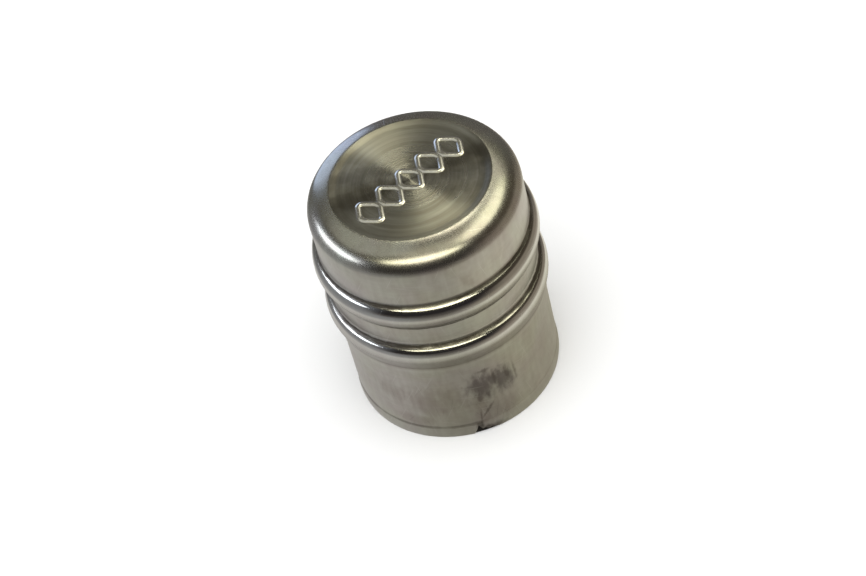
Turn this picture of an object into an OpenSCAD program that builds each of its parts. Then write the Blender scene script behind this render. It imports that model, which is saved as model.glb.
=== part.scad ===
// Deep-drawn sheet metal cap for a bottle, standing on its open rim.
// One sheet of even thickness makes the sunken top panel, the round shoulder, two rolled
// beads with a steep upper side, the flared skirt and a crowned band at the rim.
// The origin is the centre of the mouth, on the plane of the rim, and +Z runs up the axis.

/* [Cap] */
// Height from the rim to the top of the shoulder
cap_h = 35.6; // [34:0.2:50]
// Diameter of the bottle neck that the skirt slides over
neck_d = 26.8; // [24:0.1:32]
// Gap all round between the neck and the skirt
neck_gap = 0.07; // [0.03:0.01:0.3]
// Thickness of the sheet
sheet_t = 0.45; // [0.3:0.05:0.6]

/* [Top] */
// Outer radius of the rounded shoulder
shoulder_r = 3.1; // [1.5:0.1:4]
// Diameter of the sunken panel
panel_d = 21.4; // [14:0.2:22]
// Depth of the panel below the shoulder
panel_recess = 0.25; // [0.1:0.05:0.6]
// Width of the slope down into the panel
panel_slope = 0.6; // [0.1:0.05:0.8]

/* [Beads] */
// Height of the lower bead's crest above the rim
bead_z = 17.35; // [14:0.05:19]
// Distance from the lower crest to the upper crest
bead_pitch = 7.7; // [5:0.05:8.5]
// How far a crest stands out from the skirt
bead_out = 1.03; // [0.7:0.01:1.3]
// Radius of the upper side of a crest
crest_r = 3.4; // [3:0.05:4]
// Radius of the under side of a crest
under_r = 2.8; // [2:0.05:2.8]
// How far up a crest its tighter brow begins, as an angle
brow_angle = 20; // [15:1:25]
// Radius of the brow of the upper bead
upper_brow_r = 1.6; // [1.2:0.05:2]
// Radius of the brow of the lower bead
lower_brow_r = 1.2; // [1:0.05:1.5]
// Radius of the hollow crevice above a brow
crevice_r = 1; // [0.6:0.05:1.2]
// Drop from a crest to the crease under it
crease_drop = 2.05; // [1.95:0.05:2.6]
// How far the crease under the lower bead stands out from the skirt
lower_crease_out = 0.48; // [0.2:0.02:0.6]
// How far the crease under the upper bead stands out from the skirt
upper_crease_out = 0.19; // [0.1:0.01:0.5]
// How far the wall between the beads pulls in, just above the lower bead
waist_in = 0.07; // [0:0.01:0.3]

/* [Skirt and rim] */
// Height of the flare below the lower crease
flare_h = 4.5; // [2:0.1:6]
// Height of the crowned band at the rim
band_h = 1.9; // [1.2:0.05:3]
// How far the band's crown stands out from the skirt
band_out = 0.11; // [0.04:0.01:0.3]
// Depth of the score line above the band
score_depth = 0.1; // [0.05:0.01:0.15]
// Height over which the score line fades into the skirt
score_h = 0.5; // [0.2:0.05:1]

/* [Torn rim] */
// Direction of the torn place round the axis, from +X towards +Y
tear_angle = 274.5; // [0:0.5:359.5]
// Width of the torn place along the rim
tear_w = 3.5; // [1.5:0.1:8]
// Height of its tallest point above the rim
tear_h = 1.65; // [0.6:0.05:4]

/* [Hidden] */
$fn = 96;

skirt_r = neck_d / 2 + neck_gap + sheet_t;
crest_out_r = skirt_r + bead_out;
upper_bead_z = bead_z + bead_pitch;
crown_r = (band_h * band_h / 4 + band_out * band_out) / (2 * band_out);
// A cutting shape reaches this far past the face that it cuts
past = 1;
// A flank begins this share of the under side's radius from its centre, just inside the curve
flank_reach = 0.985;
// A brow's circle is larger by this much, so that it crosses its neighbours and leaves no sliver
brow_swell = 0.0005;
// Ragged outline of the missing piece, as shares of its width and height
tear_outline = [
    [0, 0], [0.24, 1], [0.34, 0.72], [0.4, 0.46], [0.53, 0.36],
    [0.59, 0.14], [0.75, 0.25], [0.85, 0.07], [0.97, 0.13], [1, 0]
];

// Centre of a brow, seen from its crest's outermost point
function brow_centre(brow_r) = [
    (crest_r - brow_r) * cos(brow_angle) - crest_r,
    (crest_r - brow_r) * sin(brow_angle)
];

// Height above a crest at which its crevice runs out into a wall of radius wall_r
function crevice_rise(brow_r, wall_r) =
    brow_centre(brow_r).y
    + sqrt(pow(brow_r + crevice_r, 2) - pow(wall_r + crevice_r - crest_out_r - brow_centre(brow_r).x, 2));

// Direction, seen from the centre of a crest's under side, in which its flank begins
function flank_angle(crease_r) =
    atan2(-crease_drop, crease_r - crest_out_r + under_r)
    + acos(min(1, under_r / norm([crease_r - crest_out_r + under_r, crease_drop])));

// Upper half of a bead's section: crest, tighter brow and hollow crevice up to the wall.
// The wall above has the radius wall_r. A sheet's inner face is the same form set in by inset.
module bead_top(crest_z, brow_r, wall_r, inset) {
    crest_centre = [crest_out_r - crest_r, crest_z];
    brow = [crest_out_r, crest_z] + brow_centre(brow_r);
    crevice_centre = [wall_r + crevice_r, crest_z + crevice_rise(brow_r, wall_r)];
    intersection() {
        translate(crest_centre)
            circle(r = crest_r - inset);
        translate(crest_centre)
            polygon([[0, 0], [2 * crest_r, 0], 2 * crest_r * [cos(brow_angle), sin(brow_angle)]]);
    }
    translate(brow)
        circle(r = brow_r - inset + brow_swell);
    difference() {
        polygon([[0, crest_z], crest_centre, brow, crevice_centre, [0, crevice_centre.y]]);
        translate(crevice_centre)
            circle(r = crevice_r + inset);
    }
}

// Lower half of a bead's section: the under side of the crest and its straight flank
module bead_under(crest_z, crease_r, inset) {
    angle = flank_angle(crease_r);
    reach = flank_reach * (under_r - inset);
    centre_r = crest_out_r - under_r;
    intersection() {
        translate([centre_r, crest_z])
            circle(r = under_r - inset);
        translate([0, crest_z - crease_drop])
            square([crest_out_r + past, crease_drop]);
    }
    polygon([
        [0, crest_z - crease_drop],
        [crease_r - inset, crest_z - crease_drop],
        [centre_r + reach * cos(angle), crest_z + reach * sin(angle)],
        [centre_r, crest_z],
        [0, crest_z]
    ]);
}

// Half section of the crowned band at the rim
module band_section(inset) {
    intersection() {
        translate([skirt_r + band_out - crown_r, band_h / 2])
            circle(r = crown_r - inset);
        square([skirt_r + band_out, band_h]);
    }
}

// Half section of everything inside one face of the sheet: the outer face has no inset,
// the inner face lies one sheet thickness in, and the score line marks the outer face only
module face_section(inset, score) {
    lower_crease_r = skirt_r + lower_crease_out;
    upper_crease_r = skirt_r + upper_crease_out;
    waist_r = skirt_r - waist_in;
    panel_r = panel_d / 2;
    difference() {
        union() {
            band_section(inset);
            polygon([
                [0, 0],
                [skirt_r - score - inset, 0],
                [skirt_r - score - inset, band_h],
                [skirt_r - inset, band_h + score_h],
                [skirt_r - inset, bead_z - crease_drop - flare_h],
                [lower_crease_r - inset, bead_z - crease_drop],
                [waist_r - inset, bead_z],
                [waist_r - inset, bead_z + crevice_rise(lower_brow_r, waist_r)],
                [upper_crease_r - inset, upper_bead_z - crease_drop],
                [skirt_r - inset, upper_bead_z],
                [skirt_r - inset, cap_h - shoulder_r],
                [skirt_r - shoulder_r, cap_h - inset],
                [0, cap_h - inset]
            ]);
            bead_under(bead_z, lower_crease_r, inset);
            bead_top(bead_z, lower_brow_r, waist_r, inset);
            bead_under(upper_bead_z, upper_crease_r, inset);
            bead_top(upper_bead_z, upper_brow_r, skirt_r, inset);
            translate([skirt_r - shoulder_r, cap_h - shoulder_r])
                circle(r = shoulder_r - inset);
        }
        polygon([
            [-past, cap_h - inset - panel_recess],
            [panel_r - panel_slope + inset / 2, cap_h - inset - panel_recess],
            [panel_r + inset / 2, cap_h - inset],
            [panel_r + inset / 2, cap_h + past],
            [-past, cap_h + past]
        ]);
    }
}

// The piece that was torn out of the rim
module torn_piece() {
    rotate([0, 0, tear_angle])
        translate([skirt_r - sheet_t - past, 0, 0])
            rotate([90, 0, 90])
                linear_extrude(sheet_t + bead_out + 2 * past)
                    polygon(concat(
                        [[tear_w / 2, -past], [-tear_w / 2, -past]],
                        [for (p = tear_outline) [(p.x - 0.5) * tear_w, p.y * tear_h]]
                    ));
}

module cap_shell() {
    color("#8f8b7c")
    difference() {
        rotate_extrude()
            difference() {
                face_section(0, score_depth);
                face_section(sheet_t, 0);
            }
        torn_piece();
    }
}

cap_shell();
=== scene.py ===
import bpy
from math import acos, atan2, cos, degrees, hypot, pi, radians, sin, sqrt, tan
from mathutils import Matrix, Vector


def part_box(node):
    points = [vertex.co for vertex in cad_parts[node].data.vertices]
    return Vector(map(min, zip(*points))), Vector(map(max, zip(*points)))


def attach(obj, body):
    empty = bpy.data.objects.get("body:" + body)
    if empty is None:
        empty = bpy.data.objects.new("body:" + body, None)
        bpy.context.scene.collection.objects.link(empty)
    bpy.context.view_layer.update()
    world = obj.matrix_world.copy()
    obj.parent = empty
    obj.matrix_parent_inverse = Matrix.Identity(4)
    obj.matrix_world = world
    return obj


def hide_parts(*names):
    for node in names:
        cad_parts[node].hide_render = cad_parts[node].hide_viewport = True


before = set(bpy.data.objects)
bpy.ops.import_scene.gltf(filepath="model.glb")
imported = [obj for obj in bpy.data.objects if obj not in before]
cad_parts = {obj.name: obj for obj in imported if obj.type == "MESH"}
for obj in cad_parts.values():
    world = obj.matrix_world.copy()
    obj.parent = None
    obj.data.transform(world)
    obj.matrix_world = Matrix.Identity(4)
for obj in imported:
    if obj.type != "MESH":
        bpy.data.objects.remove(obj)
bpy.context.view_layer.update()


# Shell
# One disc of sheet steel, drawn into a cup and rolled on a mandrel: a sunken top panel, a round
# shoulder, two beads rolled outwards, a flared skirt and a shallow crowned band at the rim.
# Both faces are turned from one half section, so the sheet is equally thick all over.

MM = 0.001
cap_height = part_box("cap_shell")[1][2] / MM
crest_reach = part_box("cap_shell")[1][0] / MM
sheet = 0.45
skirt_radius = 13.92
shoulder_radius = 3.1
panel_radius = 10.55
panel_recess = 0.08
panel_slope = 1.1
slope_inset = 0.25
crown_rise = 0.09
crown_end = 68
crown_shares = (0, 0.17, 0.34, 0.5, 0.67, 0.83)
lower_crest = 17.35
upper_crest = 25.05
crest_radius = 3.4
under_radius = 2.8
upper_brow = 1.6
lower_brow = 1.2
brow_start = 20
crevice_radius = 1.0
crease_drop = 2.05
lower_crease_out = 0.48
lower_crease = skirt_radius + lower_crease_out
upper_crease = skirt_radius + 0.19
waist_radius = skirt_radius - 0.07
flare_height = 4.5
flare_curve = 1.35
band_height = 1.9
band_crown = 0.11
band_shares = (0.94, 0.85, 0.7, 0.5, 0.3, 0.15, 0.04)
score_depth = 0.06
score_height = 0.5
score_foot_share = 0.7
score_foot_rise = 0.03
rim_rounding = 0.06
turn_steps = 288
weld = 0.004


def arc(centre, radius, start, end, steps):
    """Points of an arc in the half section, with its angles in degrees from +r towards +z."""
    angles = [radians(start + (end - start) * i / steps) for i in range(steps + 1)]
    return [(centre[0] + radius * cos(a), centre[1] + radius * sin(a)) for a in angles]


def line(start, end, steps):
    """Points between two places of the half section, without the first."""
    return [(start[0] + (end[0] - start[0]) * i / steps, start[1] + (end[1] - start[1]) * i / steps)
            for i in range(1, steps + 1)]


def shares(count):
    """Even steps from 0 to 1, without either end."""
    return [i / count for i in range(1, count)]


def soft(t):
    """Share of a rise that starts and ends level."""
    return 3 * t * t - 2 * t * t * t


def bead(crest, brow_radius, crease, wall_above, wall, inset, fine):
    """One bead from the wall above it down to its crease: crevice, tight brow, crest and flank."""
    start = radians(brow_start)
    middle = crest_reach - crest_radius
    shift = crest_radius - brow_radius
    brow = (middle + shift * cos(start), crest + shift * sin(start))
    out = wall + crevice_radius - brow[0]
    rise = sqrt((brow_radius + crevice_radius) ** 2 - out ** 2)
    lean = degrees(atan2(rise, out))
    foot = (wall + crevice_radius, brow[1] + rise)
    points = line(wall_above, (wall - inset, foot[1]), 4)
    points += arc(foot, crevice_radius + inset, 180, 180 + lean, 8 * fine)[1:]
    points += arc(brow, brow_radius - inset, lean, brow_start, 10 * fine)[1:]
    points += arc((middle, crest), crest_radius - inset, brow_start, 0, 4 * fine)[1:]
    out = crease - (crest_reach - under_radius)
    flank = degrees(atan2(-crease_drop, out) + acos(under_radius / hypot(out, crease_drop)))
    points += arc((crest_reach - under_radius, crest), under_radius - inset, 0, flank, 5 * fine)[1:]
    return points + line(points[-1], (crease - inset, crest - crease_drop), 3)


def panel_and_shoulder(inset, fine):
    """The sunken floor, the slope up to its lip, and the shoulder that falls away from the lip."""
    top = cap_height - inset
    floor = top - panel_recess
    edge = panel_radius + inset / 2
    depth = panel_recess + crown_rise
    points = [(0, floor)]
    points += line((0, floor), (edge - panel_slope - slope_inset, floor), 8)
    points += [(edge - panel_slope * (1 - t), floor + depth * soft(t)) for t in shares(10)]
    centre = (skirt_radius - shoulder_radius, cap_height - crown_rise - shoulder_radius)
    shoulder = arc(centre, shoulder_radius - inset, crown_end, 0, 10 * fine)
    lip, end = (edge, top + crown_rise), shoulder[0]
    half = (end[0] - lip[0]) / 2
    bend = end[1] + half * tan(radians(90 - crown_end))
    points += [(lip[0] + 2 * half * t, lip[1] * (1 - t) ** 2 + 2 * bend * t * (1 - t) + end[1] * t * t)
               for t in crown_shares]
    return points + shoulder


def sheet_face(inset, score, fine):
    """Half section of one face of the sheet, from the axis at the top down to the rim."""
    wall = skirt_radius - inset
    points = panel_and_shoulder(inset, fine)
    points += bead(upper_crest, upper_brow, upper_crease, points[-1], skirt_radius, inset, fine)
    points += bead(lower_crest, lower_brow, lower_crease, points[-1], waist_radius, inset, fine)
    flare_foot = lower_crest - crease_drop - flare_height
    points += [(wall + lower_crease_out * (1 - t) ** flare_curve, flare_foot + flare_height * (1 - t))
               for t in shares(8) + [1.0]]
    points += line(points[-1], (wall, band_height + score_height), 4)
    points += [(wall - score * soft(t), band_height + score_height * (1 - t)) for t in shares(5)]
    points += [(wall - score * score_foot_share, band_height + score_foot_rise)]
    points += [(wall + band_crown - band_crown * (2 * h - 1) ** 2, band_height * h) for h in band_shares]
    return points


def draw_line(name, points):
    """Extrude one vertex from point to point, in millimetres, and stay in edit mode."""
    bpy.ops.object.select_all(action="DESELECT")
    bpy.ops.mesh.primitive_plane_add(size=MM, location=[c * MM for c in points[0]])
    piece = bpy.context.object
    piece.name = name
    bpy.ops.object.transform_apply(location=True, rotation=True, scale=True)
    bpy.ops.object.mode_set(mode="EDIT")
    bpy.ops.mesh.select_all(action="SELECT")
    bpy.ops.mesh.merge(type="CENTER")
    for here, there in zip(points, points[1:]):
        move = [(b - a) * MM for a, b in zip(here, there)]
        bpy.ops.mesh.extrude_region_move(TRANSFORM_OT_translate={"value": move})
    bpy.ops.mesh.select_all(action="SELECT")
    return piece


def lathe(name, section):
    """Draw the half section, then spin it once round the axis."""
    piece = draw_line(name, [(r, 0, z) for r, z in section])
    bpy.ops.mesh.spin(steps=turn_steps, angle=radians(360), center=(0, 0, 0), axis=(0, 0, 1))
    bpy.ops.mesh.select_all(action="SELECT")
    bpy.ops.mesh.remove_doubles(threshold=weld * MM)
    bpy.ops.mesh.normals_make_consistent(inside=False)
    bpy.ops.object.mode_set(mode="OBJECT")
    return piece


outer_face = sheet_face(0, score_depth, 2)
inner_face = sheet_face(sheet, 0, 1)
rim_edge = [(skirt_radius - rim_rounding, 0), (skirt_radius - sheet + rim_rounding, 0)]
shell = lathe("drawn_shell", outer_face + rim_edge + inner_face[::-1])


# Torn place in the rim
# A ragged piece has been torn out of the front of the rim, through the sheet. Its tall side
# is to the left, and it is cut with a block of the same outline.

tear_middle = radians(-90 + 4.65)
tear_width = 3.5
tear_height = 1.65
tear_reach = (12.6, 15.2)
tear_outline = [
    (0, 0), (0.2, 0.95), (0.27, 0.7), (0.34, 0.45), (0.45, 0.5), (0.53, 0.34), (0.6, 0.24),
    (0.68, 0.36), (0.76, 0.33), (0.85, 0.17), (0.93, 0.22), (1, 0), (1, -0.6), (0, -0.6)]


def only(piece):
    """Select one object alone and make it the active one."""
    bpy.ops.object.select_all(action="DESELECT")
    piece.select_set(True)
    bpy.context.view_layer.objects.active = piece


def ragged_cutter(outline, width, height, direction, reach):
    """A block with a ragged outline, pushed through the wall in one direction."""
    cutter = draw_line("cutter", [((x - 0.5) * width, 0, z * height) for x, z in outline])
    bpy.ops.mesh.edge_face_add()
    bpy.ops.transform.translate(value=(0, -reach[1] * MM, 0))
    depth = (0, (reach[1] - reach[0]) * MM, 0)
    bpy.ops.mesh.extrude_region_move(TRANSFORM_OT_translate={"value": depth})
    bpy.ops.mesh.select_all(action="SELECT")
    bpy.ops.mesh.normals_make_consistent(inside=False)
    bpy.ops.object.mode_set(mode="OBJECT")
    cutter.rotation_euler[2] = direction + radians(90)
    only(cutter)
    bpy.ops.object.transform_apply(location=True, rotation=True, scale=True)
    return cutter


def cut_out(piece, cutter):
    """Cut one closed shape out of a piece, and take the cutter away."""
    only(piece)
    change = piece.modifiers.new("cut", "BOOLEAN")
    change.operation = "DIFFERENCE"
    change.solver = "EXACT"
    change.object = cutter
    bpy.ops.object.modifier_apply(modifier=change.name)
    bpy.data.objects.remove(cutter, do_unlink=True)


cut_out(shell, ragged_cutter(tear_outline, tear_width, tear_height, tear_middle, tear_reach))


# Satin finish of the wall
# The wall, beads, shoulder and skirt are bare steel, greyed and slightly warm, with a satin grain
# and upright streaks from the die. The brows of the beads are rubbed, and lightened as a painted
# highlight. The crevices above the beads hold painted shade, the creases and the score line are
# darkened, and the undersides of the beads and the flare carry painted shade, with a painted
# highlight line below the lower crease. Stains, cracks in the dirt and scratches mark the skirt
# above the tear, and dark patches at the tear are painted shade and dirt.

VECTOR = "NodeSocketVector"
FLOAT = "NodeSocketFloat"

cool_steel = (0.515, 0.51, 0.47, 1)
warm_steel = (0.485, 0.46, 0.43, 1)
green_tint = (0.99, 1, 0.93, 1)
pink_tint = (0.995, 0.975, 0.98, 1)
streak_shade = (0.72, 0.7, 0.68, 1)
mottle_shade = (0.78, 0.75, 0.735, 1)
ring_shade = (0.8, 0.78, 0.74, 1)
smear_shade = (0.7, 0.64, 0.63, 1)
stain_shade = (0.4, 0.37, 0.4, 1)
under_bead_shade = (0.72, 0.68, 0.66, 1)
underside_shade_colour = (0.74, 0.725, 0.72, 1)
scratch_bright = (0.66, 0.65, 0.62, 1)
crease_highlight_colour = (0.66, 0.65, 0.6, 1)
band_bright = (0.6, 0.61, 0.61, 1)
brow_wear_and_highlight_colour = (0.56, 0.555, 0.53, 1)
scrape_dark = (0.1, 0.085, 0.09, 1)
crack_dark = (0.1, 0.082, 0.072, 1)
dark_line_colour = (0.035, 0.026, 0.02, 1)
torn_dark = (0.04, 0.032, 0.028, 1)

# Level above the rim, spread and strength of each dark line, in millimetres: the first two are
# painted shade in the crevices above the beads, the last two darken the creases below the beads
crease_lines = [
    (upper_crest + 2.04, 0.26, 1.0), (lower_crest + 1.95, 0.28, 1.0),
    (upper_crest - crease_drop, 0.16, 0.85), (lower_crest - crease_drop, 0.12, 0.3)]
score_line = (band_height + 0.15, 0.34, 0.45)
score_gap = (10.5, 8.5, 10.5)

# Ragged patches: place round the wall from the front, height, half width, half height and lean
dark_stains = [
    (1.9, 9.0, 2.2, 3.1, 0.05), (4.9, 8.6, 1.7, 2.9, 0.1), (3.5, 9.5, 1.4, 1.9, 0.0),
    (1.9, 8.2, 1.8, 2.5, 0.0)]
cracks = [
    (3.7, 10.2, 0.3, 2.2, 0.05), (5.6, 9.6, 0.34, 2.4, 0.0), (6.8, 8.9, 0.26, 2.1, 0.05),
    (2.6, 12.0, 1.3, 0.4, 0.0), (1.8, 3.9, 0.3, 1.5, -0.8), (0.8, 2.9, 0.2, 1.9, -0.1)]
# Dark patches at the tear: painted shade in the gap at its tall left end, and dirt along its torn edge
tear_shade_and_dirt = [(0.4, 1.3, 0.6, 0.8, 0.0), (1.8, 0.5, 1.9, 0.75, 0.15)]
faint_smears = [
    (-2.5, 8.2, 2.6, 2.6, 0.1), (-8.1, 3.5, 2.8, 1.3, 0.0), (-11.0, 8.5, 2.4, 2.0, 0.2),
    (3.6, 3.4, 2.8, 2.4, 0.2), (-5.6, 7.6, 3.0, 3.4, 0.1), (1.2, 5.3, 1.2, 2.6, -0.1),
    (1.4, 2.6, 1.4, 1.9, 0.0), (3.6, 29.2, 0.9, 1.4, 0.3)]


def add(tree, kind, settings=None, **inputs):
    """Add one node, set its properties, and fill or link its inputs by name or by number."""
    made = tree.nodes.new(kind)
    for key, value in (settings or {}).items():
        setattr(made, key, value)
    for key, value in inputs.items():
        socket = made.inputs[int(key[1:]) if key[1:].isdigit() else key.replace("_", " ")]
        if isinstance(value, bpy.types.NodeSocket):
            tree.links.new(value, socket)
        else:
            socket.default_value = value
    return made


def calc(tree, operation, first, second=0.0):
    """One step of arithmetic on numbers or node outputs."""
    return add(tree, "ShaderNodeMath", {"operation": operation}, i0=first, i1=second).outputs[0]


def plus(tree, first, second):
    """Sum of two values."""
    return calc(tree, "ADD", first, second)


def less(tree, first, second):
    """First value less the second."""
    return calc(tree, "SUBTRACT", first, second)


def times(tree, first, second):
    """Product of two values."""
    return calc(tree, "MULTIPLY", first, second)


def most(tree, first, second):
    """The larger of two values."""
    return calc(tree, "MAXIMUM", first, second)


def away(tree, value, level):
    """How far a value lies from a level, to either side."""
    return calc(tree, "ABSOLUTE", less(tree, value, level))


def ease(tree, value, low, high, start=0.0, end=1.0):
    """Smooth step of a value from start to end between two levels."""
    return add(tree, "ShaderNodeMapRange", {"interpolation_type": "SMOOTHSTEP"},
               i0=value, i1=low, i2=high, i3=start, i4=end).outputs[0]


def scaled(tree, vector, factors):
    """A vector with each of its three parts multiplied."""
    return add(tree, "ShaderNodeVectorMath", {"operation": "MULTIPLY"}, i0=vector, i1=factors).outputs[0]


def parts(tree, vector):
    """The three parts of a vector."""
    return add(tree, "ShaderNodeSeparateXYZ", None, i0=vector).outputs


def noise(tree, spot, scale, detail=3.0, stretch=(1, 1, 1)):
    """Noise from about 0.25 to 0.75, with its own stretch along each axis."""
    return add(tree, "ShaderNodeTexNoise", None, Vector=scaled(tree, spot, stretch),
               Scale=scale, Detail=detail).outputs[0]


def blend(tree, amount, under, over, mode="MIX"):
    """Mix two colours."""
    return add(tree, "ShaderNodeMix", {"data_type": "RGBA", "blend_type": mode},
               i0=amount, i6=under, i7=over).outputs[2]


def layer(tree, tone, mask, strength, colour, mode="MIX"):
    """Lay one colour over a tone where a mask shows it."""
    return blend(tree, times(tree, mask, strength), tone, colour, mode)


def shade(tree, tone, mask, strength, colour):
    """Darken a tone towards its product with a colour where a mask shows it."""
    return layer(tree, tone, mask, strength, colour, "MULTIPLY")


def group(name, takes, gives):
    """A node group with named inputs and outputs, and the sockets on its inner sides."""
    tree = bpy.data.node_groups.new(name, "ShaderNodeTree")
    for label, kind in takes:
        tree.interface.new_socket(label, in_out="INPUT", socket_type=kind)
    for label, kind in gives:
        tree.interface.new_socket(label, in_out="OUTPUT", socket_type=kind)
    return tree, tree.nodes.new("NodeGroupInput").outputs, tree.nodes.new("NodeGroupOutput").inputs


def use(tree, effect, **inputs):
    """Place a node group in a tree."""
    return add(tree, "ShaderNodeGroup", {"node_tree": effect}, **inputs).outputs


def finish(name):
    """A material, its tree and its shader."""
    material = bpy.data.materials.new(name)
    material.use_nodes = True
    return material, material.node_tree, material.node_tree.nodes["Principled BSDF"]


def link(tree, skin, **inputs):
    """Join outputs to the shader's sockets."""
    for key, value in inputs.items():
        tree.links.new(value, skin.inputs[key.replace("_", " ")])


def bump(tree, height, depth, below=None):
    """Bump of a height from 0 to 1, as deep as the given number of millimetres."""
    made = add(tree, "ShaderNodeBump", None, Height=height, Distance=depth * MM, Strength=1.0)
    if below:
        tree.links.new(below, made.inputs["Normal"])
    return made.outputs[0]


# Where a point lies on the cap, in millimetres: distance from the axis, height above the rim,
# and distance round the wall from the front towards +X
place_effect, taken, given = group(
    "place_on_cap", [("Object", VECTOR)],
    [("Spot", VECTOR), ("Radius", FLOAT), ("Height", FLOAT), ("Around", FLOAT)])
spot = add(place_effect, "ShaderNodeVectorMath", {"operation": "SCALE"},
           i0=taken["Object"], i3=1 / MM).outputs[0]
axes = parts(place_effect, spot)
squares = plus(place_effect, times(place_effect, axes[0], axes[0]), times(place_effect, axes[1], axes[1]))
turn = calc(place_effect, "ARCTAN2", axes[0], times(place_effect, axes[1], -1))
place_effect.links.new(spot, given["Spot"])
place_effect.links.new(calc(place_effect, "SQRT", squares), given["Radius"])
place_effect.links.new(axes[2], given["Height"])
place_effect.links.new(times(place_effect, turn, skirt_radius), given["Around"])

# Satin grain: blotches of tone, upright streaks from the die, faint rings and a fine tooth
satin_effect, taken, given = group(
    "satin_grain", [("Spot", VECTOR)],
    [("Blotch", FLOAT), ("Streak", FLOAT), ("Ring", FLOAT), ("Tooth", FLOAT)])
spot = taken["Spot"]
blotch = noise(satin_effect, spot, 0.33, 5)
streak = noise(satin_effect, spot, 1.5, 4, (1, 1, 0.1))
ring = noise(satin_effect, spot, 2.6, 4, (0.03, 0.03, 1))
tooth = noise(satin_effect, spot, 7.0, 3, (1, 1, 0.45))
satin_effect.links.new(ease(satin_effect, blotch, 0.3, 0.7), given["Blotch"])
satin_effect.links.new(ease(satin_effect, streak, 0.28, 0.72), given["Streak"])
satin_effect.links.new(ease(satin_effect, ring, 0.3, 0.7), given["Ring"])
satin_effect.links.new(tooth, given["Tooth"])

# A dark line round the cap, ragged and uneven along its length
dark_line_effect, taken, given = group(
    "crease_dark_line", [("Spot", VECTOR), ("Height", FLOAT), ("Level", FLOAT), ("Spread", FLOAT)],
    [("Mask", FLOAT)])
wander = less(dark_line_effect, noise(dark_line_effect, taken["Spot"], 0.9, 3), 0.5)
share = calc(dark_line_effect, "DIVIDE", away(dark_line_effect, taken["Height"], taken["Level"]), taken["Spread"])
patchy = ease(dark_line_effect, noise(dark_line_effect, taken["Spot"], 0.28, 3), 0.3, 0.55, 0.6, 1.0)
near_line = ease(dark_line_effect, plus(dark_line_effect, share, wander), 0.5, 1.1, 1, 0)
dark_line_effect.links.new(times(dark_line_effect, near_line, patchy), given["Mask"])

# A ragged oval patch on the wall, used for stains, smears, cracks, dirt and painted shade
patch_effect, taken, given = group(
    "ragged_patch",
    [("Spot", VECTOR), ("Around", FLOAT), ("Height", FLOAT), ("Centre Around", FLOAT),
     ("Centre Height", FLOAT), ("Half Width", FLOAT), ("Half Height", FLOAT), ("Lean", FLOAT)],
    [("Mask", FLOAT)])
beside = less(patch_effect, taken["Around"], taken["Centre Around"])
above = less(patch_effect, taken["Height"], taken["Centre Height"])
slid = plus(patch_effect, beside, times(patch_effect, above, taken["Lean"]))
wide = calc(patch_effect, "DIVIDE", slid, taken["Half Width"])
tall = calc(patch_effect, "DIVIDE", above, taken["Half Height"])
distance = calc(patch_effect, "SQRT", plus(patch_effect, times(patch_effect, wide, wide),
                                           times(patch_effect, tall, tall)))
torn = less(patch_effect, noise(patch_effect, taken["Spot"], 1.3, 6, (1, 1, 0.45)), 0.5)
ragged = plus(patch_effect, distance, times(patch_effect, torn, 1.6))
patch_effect.links.new(ease(patch_effect, ragged, 0.2, 1.35, 1, 0), given["Mask"])

# Short straight scratches, all in one direction; the two flat coordinates come in turned
scratch_effect, taken, given = group(
    "fine_scratches", [("Along", FLOAT), ("Across", FLOAT), ("Turn", FLOAT)], [("Mask", FLOAT)])
flat = add(scratch_effect, "ShaderNodeCombineXYZ", None, i0=taken["Along"], i1=taken["Across"]).outputs[0]
turned = add(scratch_effect, "ShaderNodeVectorRotate", {"rotation_type": "Z_AXIS"},
             Vector=flat, Angle=taken["Turn"]).outputs[0]
cells = add(scratch_effect, "ShaderNodeTexVoronoi", {"voronoi_dimensions": "2D", "feature": "F1"},
            Vector=scaled(scratch_effect, turned, (0.025, 1.1, 1)), Scale=1.0).outputs["Distance"]
scratch_effect.links.new(ease(scratch_effect, cells, 0.015, 0.055, 1, 0), given["Mask"])


def cap_place(tree):
    """The place of each point of a piece, from its object coordinates."""
    return use(tree, place_effect, Object=add(tree, "ShaderNodeTexCoord").outputs["Object"])


def dark_line(tree, place, level, spread, strength):
    """One dark line at a level above the rim."""
    mask = use(tree, dark_line_effect, Spot=place["Spot"], Height=place["Height"], Level=level, Spread=spread)[0]
    return times(tree, mask, strength)


def patches(tree, place, spots):
    """The strongest of several ragged patches at each point."""
    strongest = 0.0
    for around, height, half_width, half_height, lean in spots:
        mask = use(tree, patch_effect, Spot=place["Spot"], Around=place["Around"], Height=place["Height"],
                   Centre_Around=around, Centre_Height=height, Half_Width=half_width,
                   Half_Height=half_height, Lean=lean)[0]
        strongest = most(tree, strongest, mask)
    return strongest


def scratches(tree, along, across, turns):
    """Scratches in several directions."""
    strongest = 0.0
    for angle in turns:
        mask = use(tree, scratch_effect, Along=along, Across=across, Turn=radians(angle))[0]
        strongest = most(tree, strongest, mask)
    return strongest


wall_steel, tree, skin = finish("satin_drawn_steel")
place = cap_place(tree)
satin = use(tree, satin_effect, Spot=place["Spot"])
height = place["Height"]

# Dark lines: painted shade in the crevices above the beads, and darker lines along the creases
# and the score line, which fades to the right of the tear
dark_lines = 0.0
for level, spread, strength in crease_lines:
    dark_lines = most(tree, dark_lines, dark_line(tree, place, level, spread, strength))
shown = ease(tree, away(tree, place["Around"], score_gap[0]), score_gap[1], score_gap[2])
dark_lines = most(tree, dark_lines, times(tree, dark_line(tree, place, *score_line), shown))

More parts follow.
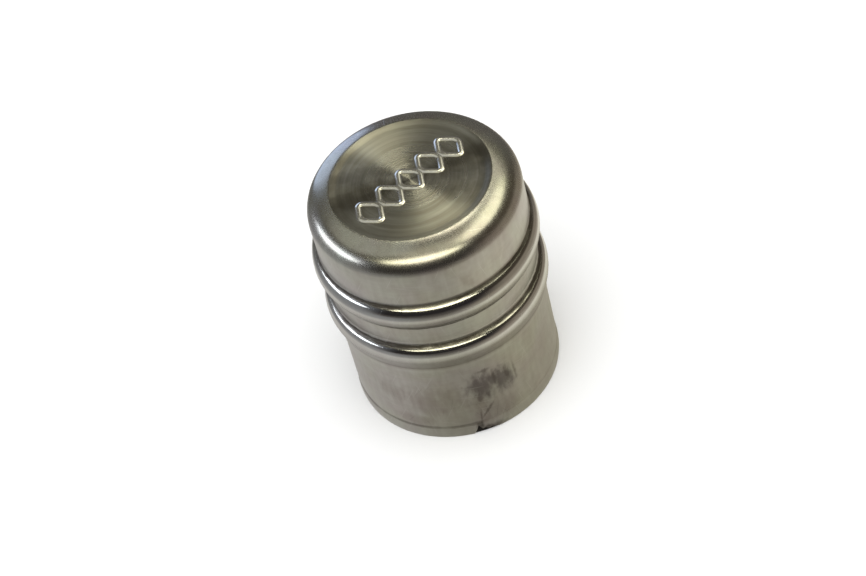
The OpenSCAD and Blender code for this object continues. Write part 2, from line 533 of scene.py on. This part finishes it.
# Tone that follows the form: brows rubbed and lightened as painted highlight, painted shade on
# the beads' undersides and round the lower crease, a painted highlight line below the lower crease,
# and a lighter rim band
brow_wear_and_highlight = 0.0
bead_underside_shade = 0.0
for crest in (upper_crest, lower_crest):
    above = less(tree, height, crest)
    on_brow = times(tree, ease(tree, above, -0.7, 0.5), ease(tree, above, 1.85, 2.05, 1, 0))
    brow_wear_and_highlight = most(tree, brow_wear_and_highlight, on_brow)
    bead_underside_shade = most(tree, bead_underside_shade, ease(tree, away(tree, above, -1.25), 0.75, 1.25, 1, 0))
under_bead = times(tree, ease(tree, height, 14.3, 15.2), ease(tree, height, 16.4, 15.6))
crease_highlight_line = ease(tree, away(tree, height, 14.5), 0.1, 0.4, 1, 0)
on_band = ease(tree, height, 1.95, 1.7)
on_shoulder = ease(tree, height, 32.3, 33.8)

# Marks that lie where the photograph shows them
stains = patches(tree, place, dark_stains)
smears = patches(tree, place, faint_smears)
splits = patches(tree, place, cracks)
tear_shade_and_dirt_mask = patches(tree, place, tear_shade_and_dirt)
cuts = scratches(tree, place["Around"], height, (12, 75, 118))
scrapes = times(tree, scratches(tree, place["Around"], height, (62, 84, 104, 128)),
                most(tree, stains, times(tree, smears, 0.5)))

tint = blend(tree, ease(tree, noise(tree, place["Spot"], 0.14, 2), 0.38, 0.62), green_tint, pink_tint)
mottle = ease(tree, noise(tree, place["Spot"], 0.8, 5), 0.36, 0.64)
tone = blend(tree, 0.8, blend(tree, satin["Blotch"], cool_steel, warm_steel), tint, "MULTIPLY")
tone = shade(tree, tone, satin["Streak"], 0.3, streak_shade)
tone = shade(tree, tone, mottle, 0.24, mottle_shade)
tone = shade(tree, tone, satin["Ring"], 0.18, ring_shade)
tone = shade(tree, tone, smears, 0.6, smear_shade)
tone = shade(tree, tone, stains, 0.9, stain_shade)
tone = layer(tree, tone, cuts, 0.35, scratch_bright)
tone = layer(tree, tone, scrapes, 0.7, scrape_dark)
tone = layer(tree, tone, splits, 0.5, crack_dark)
# Painted shade round the lower crease, under the lower bead
tone = shade(tree, tone, under_bead, 0.35, under_bead_shade)
# Painted highlight along a thin line just below the lower crease
tone = layer(tree, tone, crease_highlight_line, 0.15, crease_highlight_colour)
tone = layer(tree, tone, on_band, 0.15, band_bright)
# Painted shade in the crevices above the beads, and darker lines along the creases and score
tone = layer(tree, tone, dark_lines, 0.85, dark_line_colour)
# Brows lightened where their highlight lies: rubbed wear and painted highlight
tone = layer(tree, tone, times(tree, brow_wear_and_highlight, less(tree, 1.0, dark_lines)), 0.5, brow_wear_and_highlight_colour)
# Painted shade on the undersides of the beads
tone = shade(tree, tone, bead_underside_shade, 0.8, underside_shade_colour)
# Painted shade and dirt at the tear
tone = layer(tree, tone, tear_shade_and_dirt_mask, 0.7, torn_dark)
rough = plus(tree, 0.26, times(tree, satin["Tooth"], 0.12))
rough = less(tree, rough, times(tree, brow_wear_and_highlight, 0.2))
rough = less(tree, rough, times(tree, on_shoulder, 0.06))
rough = plus(tree, rough, times(tree, most(tree, stains, dark_lines), 0.3))
relief = bump(tree, noise(tree, place["Spot"], 0.16, 2), 0.012)
relief = bump(tree, satin["Tooth"], 0.003, relief)
relief = bump(tree, times(tree, cuts, -1), 0.004, relief)
link(tree, skin, Base_Color=tone, Roughness=rough, Normal=relief)
skin.inputs["Metallic"].default_value = 1


# Spun finish of the top panel
# The floor of the panel was spun in a lathe: turning marks run round it, so its shine opens out
# in two wedges. Beside the wedges it is painted darker, clouded by noise: painted shade that
# deepens the dark sectors of the shine.

turned_light = (0.54, 0.53, 0.475, 1)
turned_dark = (0.36, 0.346, 0.295, 1)
fine_shade = (0.7, 0.68, 0.64, 1)
blotch_shade = (0.74, 0.7, 0.66, 1)
panel_scratch = (0.62, 0.61, 0.58, 1)
dark_sector_colour = (0.36, 0.345, 0.335, 1)
dark_sector_turn = radians(-15)
turns_stretch = 0.035

panel_steel, tree, skin = finish("spun_panel_steel")
place = cap_place(tree)
satin = use(tree, satin_effect, Spot=place["Spot"])
flat = parts(tree, place["Spot"])
turned_place = add(tree, "ShaderNodeCombineXYZ", None, i0=place["Radius"],
                   i1=times(tree, flat[0], turns_stretch), i2=times(tree, flat[1], turns_stretch)).outputs[0]
broad_turns = ease(tree, noise(tree, turned_place, 0.9, 3), 0.3, 0.7)
fine_turns = noise(tree, turned_place, 4.0, 2)
cuts = scratches(tree, flat[0], flat[1], (20, 65, 140))
turn = calc(tree, "ARCTAN2", flat[0], times(tree, flat[1], -1))
swing = calc(tree, "ABSOLUTE", calc(tree, "SINE", less(tree, turn, dark_sector_turn)))
cloudy = ease(tree, noise(tree, place["Spot"], 0.5, 5), 0.25, 0.6, 0.5, 1)
dark_sector_shade = times(tree, ease(tree, swing, 0.66, 0.95), cloudy)
tone = blend(tree, broad_turns, turned_light, turned_dark)
tone = shade(tree, tone, ease(tree, fine_turns, 0.3, 0.7), 0.45, fine_shade)
tone = shade(tree, tone, satin["Blotch"], 0.35, blotch_shade)
tone = layer(tree, tone, cuts, 0.3, panel_scratch)
# Painted shade in two sectors beside the wedges of the shine
tone = shade(tree, tone, dark_sector_shade, 0.8, dark_sector_colour)
rough = plus(tree, ease(tree, place["Radius"], 3.5, 9.5, 0.24, 0.285), times(tree, broad_turns, 0.05))
relief = bump(tree, fine_turns, 0.002)
relief = bump(tree, times(tree, cuts, -1), 0.002, relief)
link(tree, skin, Base_Color=tone, Roughness=rough, Normal=relief)
skin.inputs["Metallic"].default_value = 1
skin.inputs["Anisotropic"].default_value = 0.95
skin.inputs["Anisotropic Rotation"].default_value = 0.25
around_axis = add(tree, "ShaderNodeTangent", {"direction_type": "RADIAL", "axis": "Z"})
tree.links.new(around_axis.outputs[0], skin.inputs["Tangent"])


# Dull finish of the inside
# The inner face of the same sheet was never polished, and a darker film of tarnish covers it.

inner_light = (0.4, 0.385, 0.35, 1)
inner_dark = (0.31, 0.285, 0.24, 1)
inner_streak = (0.6, 0.57, 0.52, 1)

inner_steel, tree, skin = finish("dull_inner_steel")
place = cap_place(tree)
satin = use(tree, satin_effect, Spot=place["Spot"])
tone = blend(tree, satin["Blotch"], inner_light, inner_dark)
tone = shade(tree, tone, satin["Streak"], 0.35, inner_streak)
rough = plus(tree, 0.38, times(tree, satin["Ring"], 0.1))
link(tree, skin, Base_Color=tone, Roughness=rough, Normal=bump(tree, satin["Tooth"], 0.005))
skin.inputs["Metallic"].default_value = 1


# Lozenges
# A row of five hollow lozenges is pressed up out of the panel, diagonally across it. They are
# part of the same sheet, low rounded ridges of rubbed steel lightened as painted highlight, with
# painted shade along their feet.

lozenge_count = 5
lozenge_pitch = 3.5
lozenge_long = 4.8
lozenge_wide = 3.5
lozenge_corner = 0.75
lozenge_sink = 0.1
stroke_half_width = 0.48
stroke_rise = 0.28
row_direction = radians(32.8)
stroke_light = (0.86, 0.845, 0.79, 1)
stroke_dull = (0.74, 0.72, 0.66, 1)
foot_shade_colour = (0.12, 0.105, 0.09, 1)
panel_floor = cap_height - panel_recess


def lozenge(name, place):
    """One hollow lozenge: a four-sided outline with round corners, swept as a low rounded ridge."""
    bpy.ops.object.select_all(action="DESELECT")
    bpy.ops.mesh.primitive_circle_add(vertices=4, radius=1, fill_type="NGON")
    bpy.context.object.name = name
    bpy.ops.object.mode_set(mode="EDIT")
    bpy.ops.mesh.select_all(action="SELECT")
    bpy.ops.transform.resize(value=(lozenge_wide / 2 * MM, lozenge_long / 2 * MM, 1))
    bpy.ops.mesh.bevel(offset=lozenge_corner * MM, segments=6, affect="VERTICES")
    bpy.ops.mesh.select_all(action="SELECT")
    bpy.ops.mesh.delete(type="ONLY_FACE")
    bpy.ops.object.mode_set(mode="OBJECT")
    bpy.ops.object.convert(target="CURVE")
    outline = bpy.context.object.data
    outline.bevel_depth = stroke_half_width * MM
    outline.bevel_resolution = 5
    bpy.ops.object.convert(target="MESH")
    piece = bpy.context.object
    piece.scale[2] = stroke_rise / stroke_half_width
    piece.rotation_euler[2] = row_direction
    piece.location = (place * cos(row_direction) * MM, place * sin(row_direction) * MM,
                      (panel_floor - lozenge_sink) * MM)
    bpy.ops.object.transform_apply(location=True, rotation=True, scale=True)
    return piece


stroke_steel, tree, skin = finish("rubbed_and_highlight_stroke_steel")
place = cap_place(tree)
satin = use(tree, satin_effect, Spot=place["Spot"])
# Painted shade where the strokes meet the panel
foot = ease(tree, place["Height"], panel_floor + 0.02, panel_floor + 0.1, 1, 0)
# Strokes far lighter than the panel: rubbed steel, lightened further as painted highlight
tone = blend(tree, satin["Blotch"], stroke_light, stroke_dull)
tone = layer(tree, tone, foot, 0.8, foot_shade_colour)
rough = plus(tree, 0.15, times(tree, satin["Tooth"], 0.1))
link(tree, skin, Base_Color=tone, Roughness=rough, Normal=bump(tree, satin["Tooth"], 0.002))
skin.inputs["Metallic"].default_value = 1

middle = (lozenge_count - 1) / 2
lozenges = [lozenge("lozenge", (number - middle) * lozenge_pitch) for number in range(lozenge_count)]
only(shell)
for piece in lozenges:
    piece.select_set(True)
bpy.ops.object.join()
bpy.ops.object.shade_smooth_by_angle(angle=radians(32))
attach(shell, "root")
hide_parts("cap_shell")

# Each face takes the finish of its place: inside, stroke, panel, or else wall
inward_lean = -0.2
downward_lean = -0.5
mouth_top = 20
below_floor = 0.1
above_floor = 0.03
shell.data.materials.clear()
for material in (wall_steel, panel_steel, stroke_steel, inner_steel):
    shell.data.materials.append(material)
for face in shell.data.polygons:
    here, facing = face.center / MM, face.normal
    reach = hypot(here.x, here.y)
    faces_axis = here.x * facing.x + here.y * facing.y < inward_lean * reach
    faces_down = facing.z < downward_lean and here.z > mouth_top
    if (faces_axis or faces_down) and here.z < panel_floor - below_floor:
        face.material_index = 3
    elif reach < panel_radius - panel_slope and here.z > panel_floor + above_floor:
        face.material_index = 2
    elif reach < panel_radius and here.z > panel_floor - below_floor:
        face.material_index = 1


# Floor
# A plain sheet of pale paper. No light gets under the cap, and a near-black disc there is painted
# shade on the paper inside the mouth, seen where the tear shows it.

floor_radius = 0.5
shade_radius = 13.8
paper = (0.86, 0.86, 0.86)
shaded_paper = (0.02, 0.018, 0.017)


def disc(name, corners, radius, height, material):
    """A flat round stage piece."""
    bpy.ops.object.select_all(action="DESELECT")
    bpy.ops.mesh.primitive_circle_add(vertices=corners, radius=radius, fill_type="NGON",
                                      location=(0, 0, height))
    piece = bpy.context.object
    piece.name = name
    piece.data.materials.append(material)
    return piece


def plain(name, colour):
    """A matt material of one colour for the stage."""
    material, tree, skin = finish(name)
    skin.inputs["Base Color"].default_value = (*colour, 1)
    skin.inputs["Roughness"].default_value = 0.9
    return material


disc("floor", 128, floor_radius, 0, plain("pale_paper", paper))
disc("shade_under_cap", 96, shade_radius * MM, 0.03 * MM, plain("shaded_paper", shaded_paper))


# Surroundings that the steel mirrors
# Two glowing sheets, seen in reflections alone, stand for what the steel mirrors; their tones are
# painted light and shade. A grey cloth lies round the cap, with painted shade in front and close by,
# olive to the right and blue to the left. A dark surround stands round it, brown to the right and
# paler to the left.

surround_radius = 90
surround_height = 77
front_far = (0.14, 0.127, 0.118, 1)
right_far = (0.36, 0.315, 0.26, 1)
left_far = (0.34, 0.35, 0.37, 1)
front_near = ((0.37, 0.355, 0.315, 1), (0.7, 0.69, 0.61, 1))
right_near = ((0.5, 0.475, 0.38, 1), (1.06, 1.03, 0.91, 1))
left_near = ((0.6, 0.59, 0.57, 1), (0.75, 0.74, 0.725, 1))
front_middle = (0.36, 0.34, 0.31, 1)
right_middle = (0.52, 0.47, 0.4, 1)
left_middle = (0.44, 0.445, 0.455, 1)
front_high = (0.032, 0.029, 0.031, 1)
right_high = (0.085, 0.07, 0.052, 1)
left_high = (0.29, 0.31, 0.35, 1)
back_tone = (0.16, 0.155, 0.145, 1)


def glowing(name):
    """A material that only glows, its tree, the place on the cap and the socket of its colour."""
    material = bpy.data.materials.new(name)
    material.use_nodes = True
    tree = material.node_tree
    tree.nodes.clear()
    glow = add(tree, "ShaderNodeEmission")
    add(tree, "ShaderNodeOutputMaterial", None, Surface=glow.outputs[0])
    return material, tree, cap_place(tree), glow.inputs["Color"]


def only_reflected(piece):
    """Let a stage piece show in reflections alone."""
    piece.visible_camera = False
    piece.visible_diffuse = False
    piece.visible_shadow = False
    piece.visible_transmission = False


def heading(tree, place, axis):
    """How far a point lies towards one side, as a share of its distance from the axis."""
    return calc(tree, "DIVIDE", parts(tree, place["Spot"])[axis], place["Radius"])


def sides(tree, to_right, to_left, front, right, left):
    """Three colours round the cap."""
    return blend(tree, to_left, blend(tree, to_right, front, right), left)


material, tree, place, colour = glowing("glowing_grey_cloth")
sideways = heading(tree, place, 0)
to_right = ease(tree, sideways, 0.0, 0.8)
to_left = ease(tree, sideways, -0.1, -0.95)
outwards = ease(tree, place["Radius"], 16, 42)
front, right, left = [blend(tree, outwards, *tones) for tones in (front_near, right_near, left_near)]
near = sides(tree, to_right, to_left, front, right, left)
halfway = sides(tree, to_right, to_left, front_middle, right_middle, left_middle)
far = sides(tree, to_right, to_left, front_far, right_far, left_far)
cloth_tone = blend(tree, ease(tree, place["Radius"], 41, 53), near, halfway)
tree.links.new(blend(tree, ease(tree, place["Radius"], 50, 84), cloth_tone, far), colour)
only_reflected(disc("glowing_grey_cloth", 96, surround_radius * MM, 0.05 * MM, material))

material, tree, place, colour = glowing("glowing_dark_cloth")
sideways = heading(tree, place, 0)
backwards = heading(tree, place, 1)
leftwards = less(tree, sideways, times(tree, backwards, 0.35))
front = blend(tree, ease(tree, place["Height"], -2, 20), front_far, front_high)
right = blend(tree, ease(tree, place["Height"], 22, 44), right_far, right_high)
left = blend(tree, ease(tree, place["Height"], 18, 42), left_far, left_high)
to_right = ease(tree, sideways, 0.4, 0.95)
to_left = ease(tree, leftwards, -0.5, -0.92)
ring_tone = sides(tree, to_right, to_left, front, right, left)
tree.links.new(blend(tree, ease(tree, backwards, 0.3, 0.85), ring_tone, back_tone), colour)
bpy.ops.object.select_all(action="DESELECT")
bpy.ops.mesh.primitive_cylinder_add(vertices=96, radius=surround_radius * MM, depth=surround_height * MM,
                                    end_fill_type="NOTHING", location=(0, 0, surround_height / 2 * MM))
dark_ring = bpy.context.object
dark_ring.name = "dark_surround"
bpy.ops.object.transform_apply(location=True, rotation=True, scale=True)
dark_ring.data.materials.append(material)
only_reflected(dark_ring)


# Lights
# Soft oval lights stand for a warm ceiling, a cool window and a dim room, and show in the steel
# alone. One broad light from above falls on the floor.

aim_height = 0.03
pale_room = 0.9


def soft_light(name, azimuth, elevation, distance, size, radiance, colour, glossy=True):
    """A soft oval light, placed round the cap and aimed at it."""
    bpy.ops.object.select_all(action="DESELECT")
    bpy.ops.object.light_add(type="AREA")
    lamp = bpy.context.object
    lamp.name = name
    lamp.data.shape = "ELLIPSE"
    lamp.data.size, lamp.data.size_y = size
    lamp.data.energy = radiance * pi ** 2 / 4 * size[0] * size[1]
    lamp.data.color = colour
    a, e = radians(azimuth), radians(elevation)
    aim = Vector((sin(a) * cos(e), -cos(a) * cos(e), sin(e)))
    lamp.location = Vector((0, 0, aim_height)) + aim * distance
    lamp.rotation_euler = aim.to_track_quat("Z", "Y").to_euler()
    lamp.visible_glossy = glossy
    lamp.visible_diffuse = not glossy
    lamp.visible_camera = False


soft_light("cool_window", -92, 11, 0.082, (0.082, 0.022), 4.0, (0.87, 0.935, 1.03))
soft_light("blue_corner", -158, 9, 0.082, (0.042, 0.07), 1.2, (0.62, 0.78, 1.12))
soft_light("warm_left", -9, 40, 0.6, (0.8, 0.26), 3.5, (1.0, 0.968, 0.74))
soft_light("warm_right", 89, 54, 0.6, (0.68, 0.36), 2.2, (1.0, 0.968, 0.72))
soft_light("ceiling", 12, 72, 0.7, (0.6, 0.5), 0.5, (1.0, 0.98, 0.74))
soft_light("warm_high", 166, 64, 0.6, (0.17, 0.13), 4.8, (1.0, 0.975, 0.76))
soft_light("warm_far", 150, 47, 0.6, (0.3, 0.19), 0.85, (1.0, 0.975, 0.8))
soft_light("far_ceiling", -112, 62, 0.7, (0.7, 0.55), 0.38, (0.97, 0.99, 0.92))
soft_light("overhead", -10, 80, 0.9, (1.35, 1.35), 3.65, (0.98, 0.987, 1), glossy=False)

world = bpy.data.worlds.new("dim_room")
bpy.context.scene.world = world
world.use_nodes = True
tree = world.node_tree
tree.nodes.clear()
dim = add(tree, "ShaderNodeBackground", None, Color=(0.14, 0.134, 0.11, 1), Strength=1.0)
pale = add(tree, "ShaderNodeBackground", None, Color=(pale_room, pale_room, pale_room, 1), Strength=1.0)
seen = add(tree, "ShaderNodeLightPath").outputs["Is Camera Ray"]
mixed = add(tree, "ShaderNodeMixShader", None, i0=seen, i1=dim.outputs[0], i2=pale.outputs[0])
add(tree, "ShaderNodeOutputWorld", None, Surface=mixed.outputs[0])


# Camera
# It looks down on the front of the cap from above, rolled to one side, as the photograph does.

camera_target = Vector((-0.8945, 0, 14.7875)) * MM
camera_place = Vector((0, -196.6061, 230.3802)) * MM
camera_roll = radians(-15.6162)
bpy.ops.object.select_all(action="DESELECT")
bpy.ops.object.camera_add()
camera = bpy.context.object
facing = (camera_place - camera_target).to_track_quat("Z", "Y").to_matrix()
rolled = (facing @ Matrix.Rotation(camera_roll, 3, "Z")).to_4x4()
camera.matrix_world = Matrix.Translation(camera_place) @ rolled
camera.data.sensor_fit = "HORIZONTAL"
camera.data.sensor_width = 36
camera.data.lens = 91.294
camera.data.clip_start = 0.01
bpy.context.scene.camera = camera
bpy.context.scene.view_settings.view_transform = "Standard"
